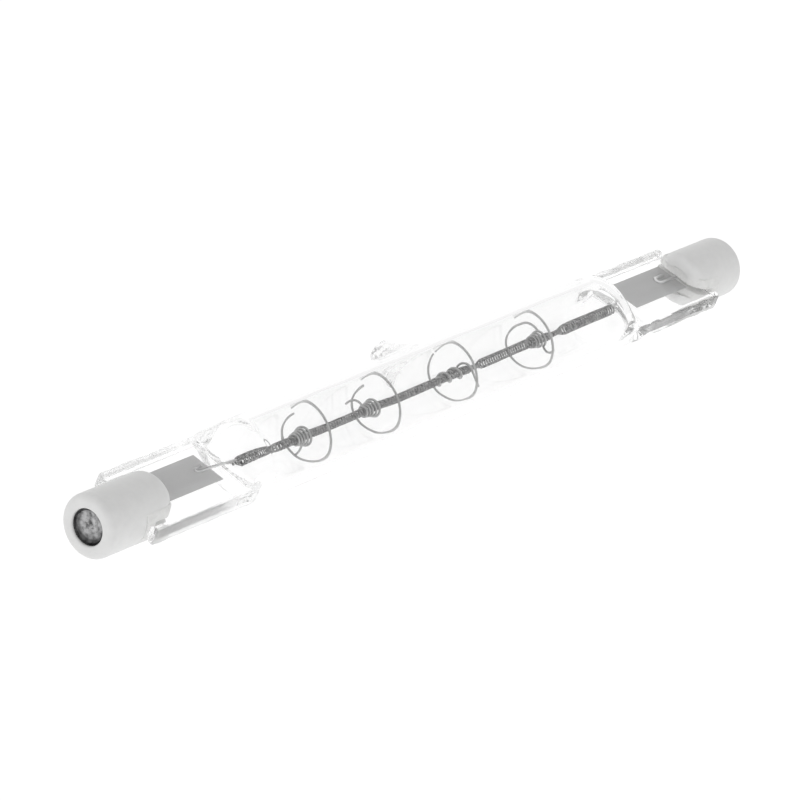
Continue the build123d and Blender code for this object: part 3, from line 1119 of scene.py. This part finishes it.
class LAMP_OT_filament(Operator):
    """Wind the tungsten filament along the axis."""

    bl_idname = "lamp.filament"
    bl_label = "Filament"
    points_a_turn = 14

    def execute(self, context):
        sizes = context.scene.lamp_coil
        colour = context.scene.lamp_colours.tungsten
        finish = opaque("tungsten coil", colour, 0.75, 2400.0, (0.35, 0.6), 0.85, relief=0.02 * MM)
        turns = COIL_SPAN / sizes.pitch
        values = {
            "Wire Diameter": sizes.wire,
            "Steps": int(turns * self.points_a_turn),
            "Turns": turns,
            "Radius": COIL_RADIUS - sizes.wire / 2,
            "Sag": sizes.sag,
            "Finish": finish,
        }
        item = made_by(coil_tree(), "filament_piece", values)
        settle(item, "filament", finish)
        return {"FINISHED"}


# Supports


def ring_tree():
    """The open ring of a support, with its last stretch drawn in from the tube's wall."""

    def path(share, read):
        swept = share * read("Sweep")
        angle = swept + read("Turn")
        draw = swept.rise(math.radians(285.0), math.radians(375.0)) * read("End Draw")
        reach = (draw * -1.0 + 1.0) * read("Radius")
        drift = share.curve([(0.0, 0.0), (0.7, 0.0), (1.0, 1.0)]) * (-0.3 * MM)
        y = reach * angle.maths("COSINE") + read("Off Y")
        return read("Place") + drift, y, reach * angle.maths("SINE") + read("Off Z")

    inputs = {
        "Place": 0.0,
        "Turn": 0.0,
        "Sweep": 5.7,
        "End Draw": 0.27,
        "Radius": 3.35 * MM,
        "Off Y": 0.0,
        "Off Z": 0.0,
    }
    return wire_tree("support ring", inputs, 160, path)


def grip_tree():
    """The grip of a support: close turns round the filament that widen into an arm out to the ring."""

    def path(share, read):
        wound = share.curve([(0.0, 0.0), (0.95, 1.0), (1.0, 1.0)])
        led = share.curve([(0.0, 0.0), (0.95, 0.0), (1.0, 1.0)])
        flare = share.curve([(0.0, 0.0), (0.5, 0.06), (0.95, 0.19), (1.0, 0.0)])
        tail = share.curve([(0.0, 1.0), (0.042, 0.0), (1.0, 0.0)])
        start = share.curve([(0.0, 1.0), (0.95, 0.0)]) * read("Grip Start")
        stop = share.curve([(0.0, 0.0), (0.95, 1.0), (1.0, 0.0)]) * read("Grip End")
        angle = wound * read("Sweep") + read("Turn") + led * read("Arm Sweep")
        level = flare * read("Flare") + led + tail * read("Tail")
        reach = read("Grip Radius") + level * (read("Ring Radius") - read("Grip Radius"))
        return read("Place") + (start + stop), reach * angle.maths("COSINE"), reach * angle.maths("SINE")

    inputs = {
        "Place": 0.0,
        "Turn": 0.0,
        "Sweep": 26.0,
        "Arm Sweep": 0.0,
        "Flare": 1.0,
        "Tail": 0.0,
        "Grip Radius": 0.6 * MM,
        "Grip Start": -1.6 * MM,
        "Grip End": -0.2 * MM,
        "Ring Radius": 3.35 * MM,
    }
    return wire_tree("support grip", inputs, 300, path)


def in_units(names, values):
    """A support's values by name, with angles given in degrees and places in millimetres."""
    degree = math.pi / 180
    units = {"Turn": degree, "Sweep": degree, "Arm Sweep": degree, "Grip Start": MM, "Grip End": MM}
    return {name: value * units.get(name, 1.0) for name, value in zip(names, values)}


class LAMP_OT_supports(Operator):
    """Bend the four wire supports of the filament."""

    bl_idname = "lamp.supports"
    bl_label = "Filament Supports"

    grip_names = ("Turn", "Sweep", "Arm Sweep", "Flare", "Tail", "Grip Start", "Grip End")
    grips = {
        1: (-99.0, 1800.0, 15.0, 1.0, 0.0, -2.4, -0.5),
        2: (-10.0, 1742.0, 15.0, 0.9, 0.62, -2.6, -0.5),
        3: (165.0, 1080.0, 0.0, 0.35, 0.0, -3.2, 2.6),
        4: (206.0, 1440.0, -50.0, 0.8, 0.0, 0.2, 1.9),
    }
    ring_names = ("Turn", "Sweep", "End Draw")
    weld_spot_and_painted_rim_shade = {1: (30.0, 361.0, 0.27), 2: (30.0, 361.0, 0.27), 3: (19.0, 356.0, 0.03), 4: (30.0, 440.0, 0.34)}

    def execute(self, context):
        sizes = context.scene.lamp_coil
        colour = context.scene.lamp_colours.support
        finish = opaque("support wire", colour, 0.15, 1600.0, (0.35, 0.5), 0.85, relief=0.01 * MM)
        ring_maker = ring_tree()
        grip_maker = grip_tree()
        for number, grip in self.grips.items():
            node = f"support_ring_{number}"
            low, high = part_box(node)
            shared = {
                "Wire Diameter": sizes.support_wire,
                "Place": (low.x + high.x) / 2,
                "Finish": finish,
                "Radius": RING_RADIUS - sizes.support_wire / 2,
                "Off Y": RING_OFFSET[0],
                "Off Z": RING_OFFSET[1],
            }
            ring_values = {**shared, **in_units(self.ring_names, self.weld_spot_and_painted_rim_shade[number])}
            grip_values = {**shared, **in_units(self.grip_names, grip)}
            ring = made_by(ring_maker, node + "_ring", ring_values)
            hold = made_by(grip_maker, node + "_grip", grip_values)
            settle(joined(node + "_piece", [ring, hold]), node, finish)
        return {"FINISHED"}


# Stage


def white_floor(settings):
    """A pale floor that reads white and still takes the lamp's shadow."""
    material, tree = new_material("pale floor")
    tone = settings.floor_tone
    pattern = ramp(tree, noise(tree, 3.0), [(0.0, tone * 0.995), (1.0, tone)])
    matt = first_output(tree, "ShaderNodeBsdfDiffuse", Color=pattern)
    light = first_output(tree, "ShaderNodeEmission", Strength=settings.floor_light)
    shown = first_output(tree, "ShaderNodeEmission", Strength=settings.floor_shown)
    lighting = add(tree, "ShaderNodeLightPath").outputs["Is Diffuse Ray"]
    glow = first_output(tree, "ShaderNodeMixShader", lighting, shown, light)
    whole = first_output(tree, "ShaderNodeAddShader", matt, glow)
    add(tree, "ShaderNodeOutputMaterial", whole)
    return material


def soft_room(settings):
    """The light of the room: softer overhead than at the sides, and one even white in gloss and glass."""
    world = bpy.context.scene.world or bpy.data.worlds.new("room")
    bpy.context.scene.world = world
    world.use_nodes = True
    tree = world.node_tree
    tree.nodes.clear()
    place = add(tree, "ShaderNodeTexCoord").outputs["Generated"]
    up = add(tree, "ShaderNodeSeparateXYZ", place).outputs["Z"]
    level = ramp(tree, up, [(0.0, settings.horizon), (0.25, settings.horizon), (0.9, settings.sky)])
    light = first_output(tree, "ShaderNodeBackground", Color=level)
    shown = first_output(tree, "ShaderNodeBackground", Color=(*3 * [settings.surround], 1.0))
    lighting = add(tree, "ShaderNodeLightPath").outputs["Is Diffuse Ray"]
    mix = first_output(tree, "ShaderNodeMixShader", lighting, shown, light)
    add(tree, "ShaderNodeOutputWorld", mix)


def place_camera(settings):
    """The camera of the reference view, from the fitted directions of its picture."""
    right = Vector((0.6037, -0.7267, 0.3277))
    ahead = Vector((0.7573, 0.3943, -0.5207)).normalized()
    right = (right - ahead * right.dot(ahead)).normalized()
    up = right.cross(ahead)
    lens = bpy.data.cameras.new("camera")
    lens.sensor_width = 36.0
    lens.lens = settings.lens
    lens.clip_start = 0.01
    lens.clip_end = 20.0
    item = linked("camera", lens)
    turn = Matrix((right, up, -ahead)).transposed().to_4x4()
    item.matrix_world = Matrix.Translation(Vector((-412.66, -212.35, 279.76)) * MM) @ turn
    bpy.context.scene.camera = item


class LAMP_OT_stage(Operator):
    """Set the floor, the light and the camera."""

    bl_idname = "lamp.stage"
    bl_label = "Stage"

    def execute(self, context):
        settings = context.scene.lamp_stage
        bm = bmesh.new()
        bmesh.ops.create_grid(bm, x_segments=1, y_segments=1, size=3.0)
        floor = mesh_object("floor", bm)
        floor.location.z = -TUBE_RADIUS
        floor.data.materials.append(white_floor(settings))
        soft_room(settings)
        place_camera(settings)
        context.scene.view_settings.view_transform = "Standard"
        for kind in ("max_bounces", "glossy_bounces", "transmission_bounces"):
            setattr(context.scene.cycles, kind, settings.bounces)
        return {"FINISHED"}


# Panel and registration


class LAMP_PT_panel(Panel):
    """The lamp's pieces and sizes in the sidebar."""

    bl_label = "Heat Lamp"
    bl_space_type = "VIEW_3D"
    bl_region_type = "UI"
    bl_category = "Heat Lamp"

    def draw(self, context):
        for group in GROUPS:
            settings = getattr(context.scene, group)
            box = self.layout.box()
            for name in settings.bl_rna.properties.keys():
                if name not in ("rna_type", "name"):
                    box.prop(settings, name)
        for operator in OPERATORS:
            self.layout.operator(operator.bl_idname)


GROUPS = {
    "lamp_quartz": LampQuartzSizes,
    "lamp_coil": LampCoilSizes,
    "lamp_colours": LampColours,
    "lamp_stage": LampStage,
}
OPERATORS = (
    LAMP_OT_envelope,
    LAMP_OT_caps,
    LAMP_OT_cement,
    LAMP_OT_contacts,
    LAMP_OT_foils,
    LAMP_OT_leads,
    LAMP_OT_filament,
    LAMP_OT_supports,
    LAMP_OT_stage,
)
CLASSES = (*GROUPS.values(), *OPERATORS, LAMP_PT_panel)


def register():
    """Registers the classes and the scene's property groups."""
    for item in CLASSES:
        bpy.utils.register_class(item)
    for name, group in GROUPS.items():
        setattr(bpy.types.Scene, name, PointerProperty(type=group))


def unregister():
    """Removes what register added."""
    for name in GROUPS:
        delattr(bpy.types.Scene, name)
    for item in reversed(CLASSES):
        bpy.utils.unregister_class(item)


def main():
    """Builds every piece and the stage."""
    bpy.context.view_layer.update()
    register()
    for operator in OPERATORS:
        _, name = operator.bl_idname.split(".")
        getattr(bpy.ops.lamp, name)()


if __name__ == "__main__":
    main()
